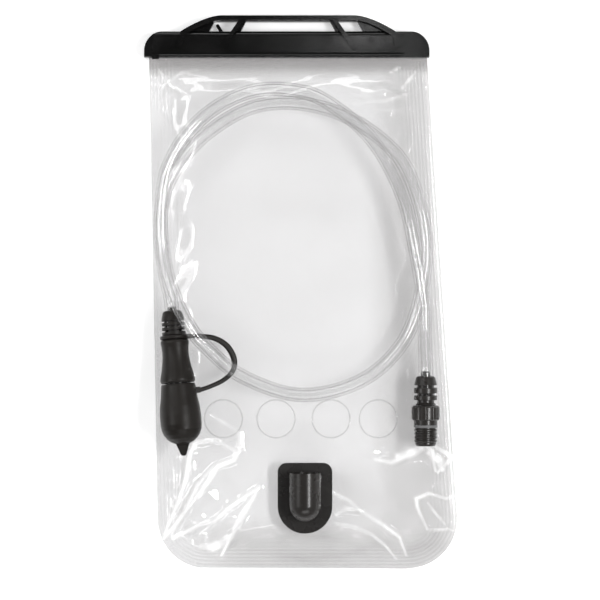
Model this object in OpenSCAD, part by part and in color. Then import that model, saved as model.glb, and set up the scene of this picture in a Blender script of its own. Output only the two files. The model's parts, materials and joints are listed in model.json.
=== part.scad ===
// Hydration bladder: a welded film reservoir closed by a slide-off clip,
// with a drink tube set lying coiled on its front.
// Frame: +X to the right, +Y towards the hanging handle, +Z out of the front.
// The flat back rests on z = 0. Millimetres.

/* [Bag] */
// Width of the bag at its mouth
bag_top_w = 185; // [181:0.5:186]
// Width of the bag at its bottom edge
bag_bottom_w = 202; // [190:1:204]
// Length of the bag from its bottom edge to its mouth edge
bag_h = 352; // [350:1:353]
// Radius of the bag's bottom corners
corner_r = 33; // [20:1:40]
// Thickness of one wall film
film_t = 0.4; // [0.3:0.05:0.5]
// Width of the welded border
weld_w = 10; // [8:0.5:12]
// Thickness of the lightly filled bag
bag_d = 12; // [11:0.5:13]

/* [Slide clip] */
// Length of the clip
clip_len = 190; // [189:0.5:194]
// Height of the clip's channel
clip_h = 17.4; // [17:0.1:18]
// Length of the thinner lead-in at the open end
lead_in = 17; // [8:1:25]
// Span of the hanging handle over its two arms
handle_span = 150; // [144:1:156]
// Height of the handle's rail above the channel
handle_rise = 10.5; // [9:0.5:12]

/* [Port] */
// Width of the port's D-shaped flange
port_w = 36.3; // [34:0.1:40]
// Height of the port's D-shaped flange
port_h = 47; // [44:0.1:50]
// Radius of the threaded socket
socket_r = 7.8; // [7.75:0.05:8]
// Depth of the threaded socket
socket_depth = 18; // [16:0.5:19]

/* [Drink tube] */
// Outside radius of the tube
tube_r = 4.75; // [4.7:0.01:4.78]
// Inside radius of the tube
tube_bore_r = 3.2; // [3.18:0.01:3.3]

/* [Coupling] */
// Radius over the thread's crests
thread_r = 7.7; // [7.5:0.05:7.7]
// Distance between two thread crests
thread_pitch = 2.4; // [2.2:0.1:3]
// Number of finger flutes round the nut
flutes = 12; // [8:1:16]

/* [Bite valve] */
// How far the mouthpiece pulls out to open the valve
valve_stroke = 4; // [2:0.5:4]
// Largest radius of the dust cap
cap_r = 13.6; // [13:0.1:13.6]

/* [Hidden] */
$fn = 48;

// ---- bag ----
mid_z = bag_d / 2;
bond_gap = 0.02;
bottom_y = -184;
mouth_y = bottom_y + bag_h;
left_x = -87;
// The left edge is straight up to this height and then leans out to the mouth.
left_bend_y = 61;
mouth_left_x = -93;
bag_corners = [
    [left_x, bottom_y],
    [left_x + bag_bottom_w, bottom_y],
    [mouth_left_x + bag_top_w, mouth_y],
    [mouth_left_x, mouth_y],
    [left_x, left_bend_y]
];
mouth_corner_r = 2;
bend_r = 60;
corner_radii = [corner_r, corner_r, mouth_corner_r, mouth_corner_r, bend_r];
corner_steps = 10;
// The film lies flat below the clip for this far, then swells.
mouth_flat = 19;
// Swell of the film: distance in from the weld, and share of the full height.
swell = [[0, 0], [2, 0.3], [5, 0.63], [8.5, 0.88], [12, 1]];

// ---- slide clip ----
clip_y = 156.6;
clip_top_y = clip_y + clip_h;
clip_x = -95.8;
clip_wall = 2;
clip_floor = 3.2;
lip_gap = 1.5;
clip_edge_r = 3;
clip_end_r = 13;
front_wall_start = 5.4;
stop_t = 2.2;
clip_step = 1.1;
arch_recess = 3.4;
rib_w = 3.2;
rim_inset = 0.3;
rib_foot_y = clip_y + 6.4;
strut_w = 2.8;
rib_h = 1.4;
rail_y = clip_top_y + handle_rise;
arm_end = handle_span / 2 - 3.5;
rail_t = 4;
arm_run = 27;
handle_back = 2;
hook_t = 3;
// Half widths of the middle window, the bars beside it and the side windows.
window_sill = 31.6;
window_head = 28;
window_gap = 5;
left_window = 16;
right_window = 13.2;

// ---- mouth rails ----
rail_bead_r = 2.4;
rail_bead_y = 164.8;
rail_foot_t = 0.9;
rail_foot_h = 6.6;
rail_inset = 1.2;

// ---- port ----
port_x = 11.3;
port_top_y = -113.4;
port_flange_t = 1.6;
port_corner_r = 6;
tunnel_r = 10.5;
tunnel_y = -119.4;
tunnel_len = 32;
socket_z = bag_d + 8.5;
intake_r = 4.5;

// ---- tube ----
// Coil stations: angle about the coil centre, radius, height of the tube's centre.
coil_centre = [1.3, 32.9];
low_z = bag_d + tube_r + 0.15;
coil = [
    [-36, 110.2, 24.8], [-23, 95.6, 27.6], [-3, 82.8, 27.8], [18, 80.1, 27.6], [38, 82.4, 27.6],
    [54, 87.4, 27.6], [70, 93.3, 26.8], [84, 99.6, 25], [104, 103, 24], [125, 100.6, 24.4],
    [147, 94.6, 27.2], [168, 86.6, 28], [190, 83.4, 28.8], [207, 83.9, 31], [218, 85.6, 30.6],
    [229, 87.8, 28.4], [250, 93.6, 24], [275, 101.2, 18.2], [300, 102.8, low_z], [323, 98.5, low_z],
    [352, 90.8, low_z], [375, 89.6, low_z], [400, 92, low_z], [432, 92, low_z],
    [462, 93.4, low_z], [490, 90.9, low_z], [514, 89.9, low_z], [534, 86.4, low_z],
    [552, 85, low_z + 0.6]
];
tube_sides = 16;
steps_per_span = 4;

// ---- coupling, along its own axis from the tip of the barb ----
coupling_x = 91.1;
coupling_y = -52.2;
coupling_z = bag_d + 9;
coupling_tube_end = 15;
barb_r = 3.06;
flow_r = 2.1;
boot_bore_r = 4.82;
stem_r = 3.5;
running = 0.06;
boot_end = 22.3;
nut_start = 22.6;
nut_end = 32.2;
nut_r = 9.3;
neck_r = 7.8;
gasket_start = 35.2;
gasket_end = 37.2;
gasket_seat_r = 6.6;
gasket_r = 7.9;
coupling_len = 49.2;
gland_start = 33;
gland_r = 5.2;
thread_depth = 0.8;
o_ring_r = 0.8;

// ---- bite valve, along its own axis from the end of its boot ----
valve_start = [-76.8, -9.6, bag_d + 8.2];
valve_end = [-68.5, -108.1, bag_d + 15];
valve_dir = (valve_end - valve_start) / norm(valve_end - valve_start);
valve_tube_end = 13;
valve_boot_start = 2.6;
valve_boot_end = 18.8;
tether_start = 19;
tether_end = 21.4;
grip_start = 21.7;
grip_end = 50.4;
nose_r = 5;
nose_end = 47;
slider_start = 36;
slider_end = 56;
slider_r = 6.5;
pin_r = 2;
mouth_start = 50.9;
mouth_end = 82;
cap_start = 51.2;
cap_end = 91;
cap_wall = 1.6;
tab_end = 98.6;
tab_root = 4.6;
tab_tip_r = 2.3;
tether_t = 2;
tether_w = 3.6;
lug_u = 14.4;
lug_w = 56;
tether_gap = 0.6;
// The tether's loop hangs down towards the bag by this angle.
tether_droop = 12;

// ---- outlines and lofts ----
function unit(v) = v / norm(v);
function left_of(v) = [-v[1], v[0]];
function wrap(i, n) = (i + n) % n;

// Where the line through p along u meets the line through q along v.
function meet(p, u, q, v) =
    p + u * ((q - p) * left_of(v)) / (u * left_of(v));

// Corner i of the polygon pts with each side moved in by its own inset.
function inset_corner(pts, insets, i) =
    let (n = len(pts), before = wrap(i - 1, n), after = wrap(i + 1, n),
         u = unit(pts[i] - pts[before]), v = unit(pts[after] - pts[i]))
    meet(pts[before] + left_of(u) * insets[before], u, pts[i] + left_of(v) * insets[i], v);

// Arc of radius r that rounds the corner b between a and c.
function corner_arc(a, b, c, r) =
    let (u = unit(a - b), v = unit(c - b), half = acos(u * v) / 2,
         centre = b + unit(u + v) * r / sin(half), from = b + u * r / tan(half) - centre,
         start = atan2(from[1], from[0]))
    [for (k = [0:corner_steps])
        let (t = start + (180 - 2 * half) * k / corner_steps) centre + r * [cos(t), sin(t)]];

// Outline of the bag, moved in by inset at the sides and bottom and by top_inset at the mouth.
function bag_ring(inset, top_inset, z) =
    let (insets = [inset, inset, top_inset, inset, inset],
         pts = [for (i = [0:4]) inset_corner(bag_corners, insets, i)])
    [for (i = [0:4])
        each [for (p = corner_arc(pts[wrap(i - 1, 5)], pts[i], pts[wrap(i + 1, 5)],
                                  max(corner_radii[i] - inset, mouth_corner_r))) [p[0], p[1], z]]];

// Rings of one face of a swollen film, from its edge to its middle.
function film_face(z, height) = concat(
    [bag_ring(0, 0, z)],
    [for (s = swell) bag_ring(weld_w + s[0], mouth_flat + s[0], z + height * s[1])]);

function reversed(list) = [for (i = [len(list) - 1:-1:0]) list[i]];

// Closed solid through rings that all have the same number of points.
module loft(rings) {
    n = len(rings[0]);
    last = len(rings) - 1;
    sides = [for (i = [0:last - 1], j = [0:n - 1])
        [i * n + j, (i + 1) * n + j, (i + 1) * n + wrap(j + 1, n), i * n + wrap(j + 1, n)]];
    first_cap = [[for (j = [0:n - 1]) j]];
    last_cap = [[for (j = [n - 1:-1:0]) last * n + j]];
    polyhedron(points = [for (ring = rings) each ring], faces = concat(first_cap, sides, last_cap),
               convexity = 8);
}

// One wall film: the flat weld border and the swollen middle, film_t thick.
module film(z) {
    height = mid_z - film_t - bond_gap;
    loft(concat(reversed(film_face(z, height)), film_face(z + film_t, height)));
}

module front_film() {
    color([0.86, 0.9, 0.92, 0.35])
    difference() {
        film(mid_z + bond_gap);
        translate([0, 0, bag_d - 3])
        linear_extrude(6)
        tunnel_outline(0.3);
    }
}

module back_film() {
    color([0.86, 0.9, 0.92, 0.35])
    translate([0, 0, bag_d])
    mirror([0, 0, 1])
    film(mid_z + bond_gap);
}

// Extruded rail: a flat foot bonded to the film, with a half-round bead.
module mouth_rail() {
    foot_z = mid_z + film_t + 2 * bond_gap;
    length = bag_top_w - 2 * rail_inset;
    translate([mouth_left_x + rail_inset, rail_bead_y, foot_z])
    rotate([90, 0, 90])
    linear_extrude(length) {
        translate([-rail_foot_h / 2, 0])
        square([rail_foot_h, rail_foot_t]);
        intersection() {
            circle(rail_bead_r);
            translate([-rail_bead_r, 0])
            square([2 * rail_bead_r, rail_bead_r]);
        }
    }
}

module front_mouth_rail() {
    color([0.8, 0.84, 0.86, 0.6])
    mouth_rail();
}

module back_mouth_rail() {
    color([0.8, 0.84, 0.86, 0.6])
    translate([0, 0, bag_d])
    mirror([0, 0, 1])
    mouth_rail();
}

// ---- slide clip ----
// Rectangle from corner a to corner b with its corners rounded by r.
module rounded_box2d(a, b, r) {
    translate(a + [r, 0])
    square([b[0] - a[0] - 2 * r, b[1] - a[1]]);
    translate(a + [0, r])
    square([b[0] - a[0], b[1] - a[1] - 2 * r]);
    for (x = [a[0] + r, b[0] - r], y = [a[1] + r, b[1] - r])
        translate([x, y])
        circle(r);
}

// Straight bar of width w with round ends at p and q.
module bar2d(p, q, w) {
    side = left_of(unit(q - p)) * w / 2;
    polygon([p + side, q + side, q - side, p - side]);
    for (end = [p, q])
        translate(end)
        circle(w / 2);
}

// Section of the room inside the channel, y up and z across, with the film slot at the bottom.
module channel_room() {
    rounded_box2d([clip_y + clip_floor, clip_wall],
                  [clip_top_y - clip_wall, bag_d - clip_wall], 1);
    translate([clip_y - 1, mid_z - lip_gap / 2])
    square([clip_floor + 2, lip_gap]);
}

// The channel's outside, before its room is cut out.
module channel_block() {
    intersection() {
        translate([clip_x, 0, 0])
        rotate([90, 0, 90])
        linear_extrude(clip_len)
        rounded_box2d([clip_y, 0], [clip_top_y, bag_d], clip_edge_r);
        linear_extrude(bag_d)
        clip_outline();
    }
}

// Front view of the channel: square below, quarter-round at its two top corners.
module clip_outline() {
    translate([clip_x, clip_y])
    square([clip_len, clip_h - clip_end_r]);
    translate([clip_x + clip_end_r, clip_y])
    square([clip_len - 2 * clip_end_r, clip_h]);
    for (x = [clip_x + clip_end_r, clip_x + clip_len - clip_end_r])
        translate([x, clip_top_y - clip_end_r])
        circle(clip_end_r);
}

// Top edge of half the handle, moved down by drop: from its middle to where it meets the channel.
function arch_edge(drop) =
    let (shoulder = arm_end - arm_run)
    concat([[0, rail_y - drop]],
           [for (k = [0:12]) let (t = k / 12)
               [shoulder + arm_run * t - drop * t * 0.6, rail_y - drop - handle_rise * pow(t, 1.6)]]);

module arch_half() {
    polygon(concat([[0, clip_top_y - clip_edge_r]], arch_edge(0), [[arm_end, clip_top_y - clip_edge_r]]));
}

module handle_windows() {
    sill = clip_top_y - 0.2;
    head = rail_y - rail_t;
    polygon([[-window_sill, sill], [-window_head, head], [window_head, head], [window_sill, sill]]);
    for (s = [[-1, left_window], [1, right_window]])
        polygon([[s[0] * (window_sill + window_gap), sill], [s[0] * (window_head + window_gap), head],
                 [s[0] * (window_head + window_gap + s[1]), head],
                 [s[0] * (window_sill + window_gap + s[1]), sill]]);
}

module handle_arch() {
    difference() {
        for (side = [0, 1])
            mirror([side, 0])
            arch_half();
        handle_windows();
    }
}

// Line along the handle's edge, moved in by drop, from one foot over the top to the other.
function rim_line(drop) =
    let (half = concat(arch_edge(drop), [[handle_span / 2 - 0.1 - drop, rib_foot_y]]))
    concat([for (i = [len(half) - 1:-1:1]) [-half[i][0], half[i][1]]], half);

// Raised ribs: the handle's rim with its two feet, and the two struts.
module handle_ribs() {
    polygon(concat(rim_line(rim_inset), reversed(rim_line(rim_inset + rib_w))));
    for (side = [-1, 1])
        bar2d([side * (window_head + 2), rail_y - rail_t / 2], [side * 43.6, rib_foot_y], strut_w);
}

module slide_clip() {
    // The front steps back to here at both ends, and the handle's plate lies behind arch_front.
    step_z = bag_d - clip_step;
    arch_front = bag_d - arch_recess;
    color([0.03, 0.03, 0.03])
    difference() {
        union() {
            difference() {
                channel_block();
                translate([clip_x - 1, clip_y - 1, step_z])
                cube([front_wall_start + 1, clip_h + 2, bag_d]);
                translate([clip_x + clip_len - lead_in, clip_y - 1, step_z])
                cube([lead_in + 1, clip_h + 2, bag_d]);
            }
            translate([clip_x + front_wall_start, clip_y - 1.3, bag_d - clip_wall])
            cube([4.6, 2.6, clip_wall]);
            translate([0, 0, handle_back])
            linear_extrude(arch_front - handle_back)
            handle_arch();
            // Short hook at the back of the left window.
            translate([0, 0, handle_back])
            linear_extrude(hook_t)
            bar2d([-47, rail_y - 6.4], [-43.8, clip_top_y - 1], 2.3);
            translate([0, 0, arch_front - 1])
            linear_extrude(arch_recess + 1 + rib_h)
            handle_ribs();
        }
        // The room starts at the stop that closes the left end.
        translate([clip_x + stop_t, 0, 0])
        rotate([90, 0, 90])
        linear_extrude(clip_len)
        channel_room();
    }
}

// ---- port ----
// Half-round tunnel seen from the front, grown by margin.
module tunnel_outline(margin) {
    r = tunnel_r + margin;
    far_y = tunnel_y - tunnel_len + tunnel_r;
    translate([port_x - r, far_y])
    square([2 * r, tunnel_y - far_y + margin]);
    translate([port_x, far_y])
    circle(r);
}

module flange_outline() {
    half = port_w / 2;
    round_y = port_top_y - port_h + half;
    translate([port_x, round_y])
    circle(half);
    translate([port_x - half, round_y])
    square([port_w, port_top_y - port_corner_r - round_y]);
    translate([port_x - half + port_corner_r, round_y])
    square([port_w - 2 * port_corner_r, port_top_y - round_y]);
    for (side = [-1, 1])
        translate([port_x + side * (half - port_corner_r), port_top_y - port_corner_r])
        circle(port_corner_r);
}

module port_body() {
    flange_z = bag_d - film_t - 2 * bond_gap - port_flange_t;
    far_y = tunnel_y - tunnel_len + tunnel_r;
    socket_end = tunnel_y - socket_depth;
    color([0.1, 0.1, 0.1])
    difference() {
        union() {
            translate([0, 0, flange_z])
            linear_extrude(port_flange_t)
            flange_outline();
            translate([0, 0, flange_z])
            linear_extrude(socket_z - flange_z)
            tunnel_outline(0);
            translate([port_x, tunnel_y, socket_z])
            rotate([90, 0, 0])
            cylinder(r = tunnel_r, h = tunnel_y - far_y);
            translate([port_x, far_y, socket_z])
            sphere(tunnel_r);
        }
        // Threaded socket, then the water way down into the bag.
        translate([port_x, tunnel_y + 1, socket_z])
        rotate([90, 0, 0])
        cylinder(r = socket_r, h = socket_depth + 1);
        translate([port_x, socket_end + 1, socket_z])
        rotate([90, 0, 0])
        cylinder(r = intake_r, h = socket_end - far_y + intake_r);
        translate([port_x, far_y, flange_z - 1])
        cylinder(r = intake_r, h = socket_z - flange_z + 1);
    }
}

// ---- drink tube ----
function coil_point(s) =
    [coil_centre[0] + s[1] * cos(s[0]), coil_centre[1] + s[1] * sin(s[0]), s[2]];

waypoints = concat(
    [[coupling_x, coupling_y - coupling_tube_end, coupling_z],
     [coupling_x, coupling_y, coupling_z]],
    [for (s = coil) coil_point(s)],
    [valve_start, valve_start + valve_dir * valve_tube_end]);

// Direction of travel at waypoint i; the two ends run straight into their barbs.
function heading(i) =
    let (p = waypoints, last = len(p) - 1)
    i <= 1 ? unit(p[1] - p[0])
    : i >= last - 1 ? unit(p[last] - p[last - 1])
    : (p[i + 1] - p[i - 1]) / (norm(p[i + 1] - p[i]) + norm(p[i] - p[i - 1]));

// Point a share t of the way from waypoint i to the next.
function along(i, t) =
    let (a = waypoints[i], b = waypoints[i + 1], span = norm(b - a),
         t2 = t * t, t3 = t2 * t)
    a * (2 * t3 - 3 * t2 + 1) + heading(i) * span * (t3 - 2 * t2 + t)
    + b * (3 * t2 - 2 * t3) + heading(i + 1) * span * (t3 - t2);

centreline = concat(
    [for (i = [0:len(waypoints) - 2], k = [0:steps_per_span - 1]) along(i, k / steps_per_span)],
    [waypoints[len(waypoints) - 1]]);

// Ring of radius r round centreline point i, square to the direction of travel.
function tube_ring(i, r) =
    let (last = len(centreline) - 1,
         d = unit(centreline[min(i + 1, last)] - centreline[max(i - 1, 0)]),
         u = unit(cross(d, [0, 0, 1])), v = cross(u, d))
    [for (k = [0:tube_sides - 1]) let (t = 360 * k / tube_sides)
        centreline[i] + (u * cos(t) + v * sin(t)) * r];

module drink_tube() {
    last = len(centreline) - 1;
    outer = [for (i = [0:last]) tube_ring(i, tube_r)];
    inner = [for (i = [0:last]) tube_ring(i, tube_bore_r)];
    n = tube_sides;
    rings = last + 1;
    outer_faces = [for (i = [0:last - 1], j = [0:n - 1])
        [i * n + j, i * n + wrap(j + 1, n), (i + 1) * n + wrap(j + 1, n), (i + 1) * n + j]];
    inner_faces = [for (face = outer_faces) [for (k = [3:-1:0]) face[k] + rings * n]];
    first_end = [for (j = [0:n - 1]) [j, rings * n + j, rings * n + wrap(j + 1, n), wrap(j + 1, n)]];
    last_end = [for (face = first_end) [for (k = [3:-1:0]) face[k] + last * n]];
    color([0.9, 0.93, 0.95, 0.4])
    polyhedron(points = [for (ring = concat(outer, inner)) each ring],
               faces = concat(outer_faces, inner_faces, first_end, last_end), convexity = 12);
}

// ---- coupling ----
module on_coupling() {
    translate([coupling_x, coupling_y, coupling_z])
    rotate([90, 0, 0])
    children();
}

// Solid of revolution from [station along the axis, radius] points, with a bore.
module turned(profile, bore_r) {
    start = profile[0][0];
    end = profile[len(profile) - 1][0];
    rotate_extrude()
    polygon(concat([[bore_r, start]], [for (p = profile) [p[1], p[0]]], [[bore_r, end]]));
}

module o_ring(station, centre_r, minor_r) {
    translate([0, 0, station])
    rotate_extrude()
    translate([centre_r, 0])
    circle(minor_r, $fn = 24);
}

module barb_stem() {
    color([0.2, 0.19, 0.18])
    on_coupling()
    turned([[0, barb_r - 0.5], [3, barb_r], [3, barb_r - 0.3], [6, barb_r - 0.3], [9, barb_r],
            [9, barb_r - 0.3], [coupling_tube_end + 0.3, barb_r - 0.3],
            [coupling_tube_end + 0.3, 4.6], [18, 4.6], [18, stem_r], [gland_start + 2, stem_r],
            [gland_start + 2, gland_r - 0.08], [gland_start + 3.6, gland_r - 0.08]], flow_r);
}

module coupling_boot() {
    color([0.15, 0.145, 0.135])
    on_coupling()
    difference() {
        turned([[3.3, 5.5], [3.9, 6.4], [8.8, 7.6], [9.1, 7.4], [9.1, 5.6], [10.8, 5.6],
                [10.8, 7.5], [11.1, 7.7], [14.2, 7.7], [14.5, 7.5], [14.5, 5.6], [16, 5.6],
                [16, 7.5], [16.3, 7.7], [18.6, 7.7], [18.9, 7.5], [18.9, 5.6], [20.6, 5.6],
                [boot_end - 0.2, 6.8], [boot_end, 6.6]], boot_bore_r);
        for (station = [9.15, 14.4], turn = [0, 90])
            translate([0, 0, station])
            rotate([0, 0, turn])
            translate([-8, -1.4, 0])
            cube([16, 2.8, 1.6]);
    }
}

// Thread crests are parallel rings a pitch apart.
module threaded_coupling() {
    crest = thread_pitch * 0.22;
    root_r = thread_r - thread_depth;
    first = gasket_end + 0.6;
    count = floor((coupling_len - 1.2 - first) / thread_pitch);
    thread = [for (k = [0:count - 1], step = [[0, root_r], [0.28, thread_r], [0.5, thread_r],
                                               [0.78, root_r]])
        [first + thread_pitch * (k + step[0]), step[1]]];
    color([0.16, 0.15, 0.14])
    on_coupling()
    difference() {
        turned(concat([[nut_start, nut_r - 1.2], [nut_start + 1.2, nut_r], [nut_end - 0.8, nut_r],
                       [nut_end, nut_r - 0.8], [nut_end, neck_r], [gasket_start, neck_r],
                       [gasket_start, gasket_seat_r], [gasket_end, gasket_seat_r],
                       [gasket_end, root_r]], thread,
                      [[coupling_len - 1.2, root_r], [coupling_len, root_r - 0.7]]),
               stem_r + running);
        translate([0, 0, gland_start])
        cylinder(r = gland_r, h = coupling_len);
        for (k = [0:flutes - 1])
            rotate([0, 0, 360 * k / flutes])
            translate([nut_r + 0.7, 0, nut_start - 1])
            cylinder(r = 1.3, h = nut_end - nut_start + 1, $fn = 24);
    }
}

module coupling_gasket() {
    color([0.55, 0.56, 0.57])
    on_coupling()
    turned([[gasket_start + 0.05, gasket_r - 0.4], [gasket_start + 0.4, gasket_r],
            [gasket_end - 0.45, gasket_r], [gasket_end - 0.05, gasket_r - 0.4]],
           gasket_seat_r + 0.03);
}

module stem_o_ring() {
    color([0.08, 0.08, 0.08])
    on_coupling()
    o_ring(gland_start + 1, stem_r + o_ring_r + 0.03, o_ring_r);
}

// ---- bite valve ----
module on_valve() {
    translate(valve_start)
    rotate([0, acos(valve_dir[2]), atan2(valve_dir[1], valve_dir[0])])
    children();
}

module valve_boot() {
    first_notch = 9.2;
    pitch = 3.1;
    notches = [for (k = [0:2], step = [[0, 7.5], [0.04, 6], [0.36, 6], [0.4, 7.6]])
        [first_notch + pitch * (k + step[0]), step[1] + (step[1] > 6 ? 0.1 * k : 0)]];
    color([0.2, 0.18, 0.165])
    on_valve()
    difference() {
        turned(concat([[valve_boot_start, 5.3], [valve_boot_start + 0.8, 6.3], [6, 7.1], [8.4, 7.5]],
                      notches, [[valve_boot_end - 0.4, 7.8], [valve_boot_end, 7.5]]), boot_bore_r);
        // Slots that let the boot bend.
        for (k = [0:2], turn = [0, 90])
            translate([0, 0, first_notch + pitch * (k + 0.06)])
            rotate([0, 0, turn + 45])
            translate([-8, -1.2, 0])
            cube([16, 2.4, pitch * 0.3]);
    }
}

module valve_stem() {
    groove = 41;
    color([0.16, 0.15, 0.14])
    on_valve()
    difference() {
        turned([[0, barb_r - 0.5], [3, barb_r], [3, barb_r - 0.3], [8, barb_r - 0.3],
                [11, barb_r], [11, barb_r - 0.3], [valve_tube_end + 0.3, barb_r - 0.3],
                [valve_tube_end + 0.3, 4.6], [18.8, 4.6], [18.8, nose_r], [groove, nose_r],
                [groove, 3.7], [groove + 1.7, 3.7], [groove + 1.7, nose_r], [nose_end, nose_r],
                [nose_end, pin_r], [slider_end, pin_r]], 0);
        translate([0, 0, -1])
        cylinder(r = flow_r, h = nose_end - 1.6);
        // Side ports that let water past the shut-off pin.
        translate([0, 0, nose_end - 2.6])
        for (turn = [0, 90])
            rotate([90, 0, turn])
            cylinder(r = 0.9, h = 20, center = true, $fn = 24);
    }
}

module slider_o_ring() {
    color([0.08, 0.08, 0.08])
    on_valve()
    o_ring(41.85, 4.37, 0.65);
}

module valve_grip() {
    waist = [for (k = [0:8]) let (t = k / 8) [24 + 22 * t, 9.45 - 1.3 * sin(180 * pow(t, 0.8)) + 1.7 * t]];
    color([0.2, 0.18, 0.165])
    on_valve()
    difference() {
        turned(concat([[grip_start, 8.4], [22.6, 9.3]], waist,
                      [[48, 11.5], [49.4, 11.5], [grip_end, 10.8]]), nose_r + 0.03);
        translate([0, 0, slider_start - valve_stroke / 2])
        cylinder(r = slider_r + running, h = 30);
        translate([0, 0, 47.4])
        cylinder(r = 9.6, h = 10);
    }
}

module valve_slider() {
    color([0.75, 0.78, 0.8])
    on_valve()
    difference() {
        turned([[slider_start, slider_r], [slider_end - 1, slider_r], [slider_end, slider_r - 0.8]],
               pin_r + running);
        translate([0, 0, slider_start - 1])
        cylinder(r = nose_r + running, h = slider_end - 3 - slider_start + 1);
    }
}

module bite_valve() {
    dome = [for (k = [0:6]) let (t = 15 * k) [mouth_end - 9 + 9 * sin(t), 2 + 6.2 * cos(t)]];
    color([0.85, 0.88, 0.9])
    on_valve()
    difference() {
        turned(concat([[mouth_start, 8.8], [mouth_start + 1, 9.2], [mouth_start + 4, 9.2],
                       [mouth_start + 6, 7.6], [64, 7.6], [70, 8.2]], dome), 0);
        translate([0, 0, mouth_start - 1])
        cylinder(r = slider_r + 0.03, h = slider_end - mouth_start + 1.2);
        translate([0, 0, slider_end])
        cylinder(r = 5.2, h = mouth_end - 4 - slider_end);
        // Bite slit.
        translate([-0.2, -4, mouth_end - 6])
        cube([0.4, 8, 8]);
    }
}

// Tab that narrows to a round end.
module pull_tab_outline() {
    reach = tab_end - cap_end + 1 - tab_tip_r;
    polygon([[-tab_root, 0], [tab_root, 0], [tab_tip_r, reach], [-tab_tip_r, reach]]);
    translate([0, reach])
    circle(tab_tip_r);
}

module dust_cap() {
    shell = [[cap_start, 11], [cap_start + 1, 11.3], [60, 12.2], [66, 13.2], [72, cap_r],
             for (k = [0:6]) let (t = 15 * k) [78 + (cap_end - 78) * sin(t), 1.5 + (cap_r - 1.5) * cos(t)]];
    room = [[cap_start, 9.5], [60, 10.5], [66, 11.5], [72, cap_r - cap_wall],
            for (k = [0:6]) let (t = 15 * k)
                [78 + (cap_end - cap_wall - 78) * sin(t), (cap_r - cap_wall) * cos(t)]];
    color([0.2, 0.18, 0.165])
    on_valve() {
        difference() {
            turned(shell, 0);
            translate([0, 0, -0.01])
            turned(room, 0);
        }
        // Pull tab.
        translate([-1.2, 0, cap_end - 1])
        rotate([90, 0, 90])
        linear_extrude(2.4)
        pull_tab_outline();
        // Lug that carries the tether.
        rotate([0, 0, -tether_droop])
        translate([-tether_t / 2, 10.4, lug_w - 2])
        cube([tether_t, lug_u - 10.4, 4]);
    }
}

// Tether stations: distance to the side of the valve's axis, and distance along it.
tether_path = [[8, 19.6], [17, 20.3], [27, 22.8], [34.9, 28.6], [38.8, 37.4], [37.4, 45],
               [31, 50.6], [22.5, 54], [lug_u + tether_gap, 56]];

function tether_heading(i) =
    let (last = len(tether_path) - 1)
    unit(tether_path[min(i + 1, last)] - tether_path[max(i - 1, 0)]);

function tether_point(i, t) =
    let (a = tether_path[i], b = tether_path[i + 1], span = norm(b - a), t2 = t * t, t3 = t2 * t)
    a * (2 * t3 - 3 * t2 + 1) + tether_heading(i) * span * (t3 - 2 * t2 + t)
    + b * (3 * t2 - 2 * t3) + tether_heading(i + 1) * span * (t3 - t2);

module cap_tether() {
    line = concat([for (i = [0:len(tether_path) - 2], k = [0:3]) tether_point(i, k / 4)],
                  [tether_path[len(tether_path) - 1]]);
    last = len(line) - 1;
    side = [for (i = [0:last]) left_of(unit(line[min(i + 1, last)] - line[max(i - 1, 0)])) * tether_w / 2];
    color([0.2, 0.18, 0.165])
    on_valve() {
        turned([[tether_start, 8.8], [tether_start + 0.3, 9.1], [tether_end - 0.3, 9.1],
                [tether_end, 8.8]], nose_r + 0.1);
        rotate([0, 0, -tether_droop])
        translate([-tether_t / 2, 0, 0])
        rotate([90, 0, 90])
        linear_extrude(tether_t)
        polygon(concat([for (i = [0:last]) line[i] + side[i]],
                       [for (i = [last:-1:0]) line[i] - side[i]]));
    }
}

front_film();
back_film();
front_mouth_rail();
back_mouth_rail();
slide_clip();
port_body();
drink_tube();
barb_stem();
threaded_coupling();
coupling_gasket();
stem_o_ring();
coupling_boot();
valve_boot();
valve_stem();
valve_grip();
valve_slider();
slider_o_ring();
bite_valve();
dust_cap();
cap_tether();
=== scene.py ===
"""Looks of the hydration bladder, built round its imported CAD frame.

Lengths are in metres; a number times MM is in millimetres, and so are the tables that say so."""
import json
import math

import bpy
import numpy as np
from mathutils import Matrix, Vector
from mathutils.bvhtree import BVHTree


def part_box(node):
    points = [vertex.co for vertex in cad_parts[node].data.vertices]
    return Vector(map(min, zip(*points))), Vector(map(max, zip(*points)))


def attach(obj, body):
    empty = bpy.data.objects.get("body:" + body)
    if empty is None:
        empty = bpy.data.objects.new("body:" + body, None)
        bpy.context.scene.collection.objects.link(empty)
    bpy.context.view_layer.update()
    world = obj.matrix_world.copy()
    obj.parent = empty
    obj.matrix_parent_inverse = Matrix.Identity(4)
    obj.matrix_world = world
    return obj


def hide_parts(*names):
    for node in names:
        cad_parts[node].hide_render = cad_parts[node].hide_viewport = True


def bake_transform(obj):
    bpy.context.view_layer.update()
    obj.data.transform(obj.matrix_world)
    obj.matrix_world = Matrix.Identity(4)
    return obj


MM = 0.001
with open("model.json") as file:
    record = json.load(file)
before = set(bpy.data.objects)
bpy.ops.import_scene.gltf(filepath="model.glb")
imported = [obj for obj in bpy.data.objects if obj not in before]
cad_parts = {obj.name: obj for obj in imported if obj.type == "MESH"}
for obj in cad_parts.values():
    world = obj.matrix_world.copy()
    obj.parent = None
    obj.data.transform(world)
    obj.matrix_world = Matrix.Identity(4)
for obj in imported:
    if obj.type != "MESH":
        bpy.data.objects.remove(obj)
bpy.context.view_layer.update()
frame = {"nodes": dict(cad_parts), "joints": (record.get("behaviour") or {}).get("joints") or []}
NODES = frame["nodes"]


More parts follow.
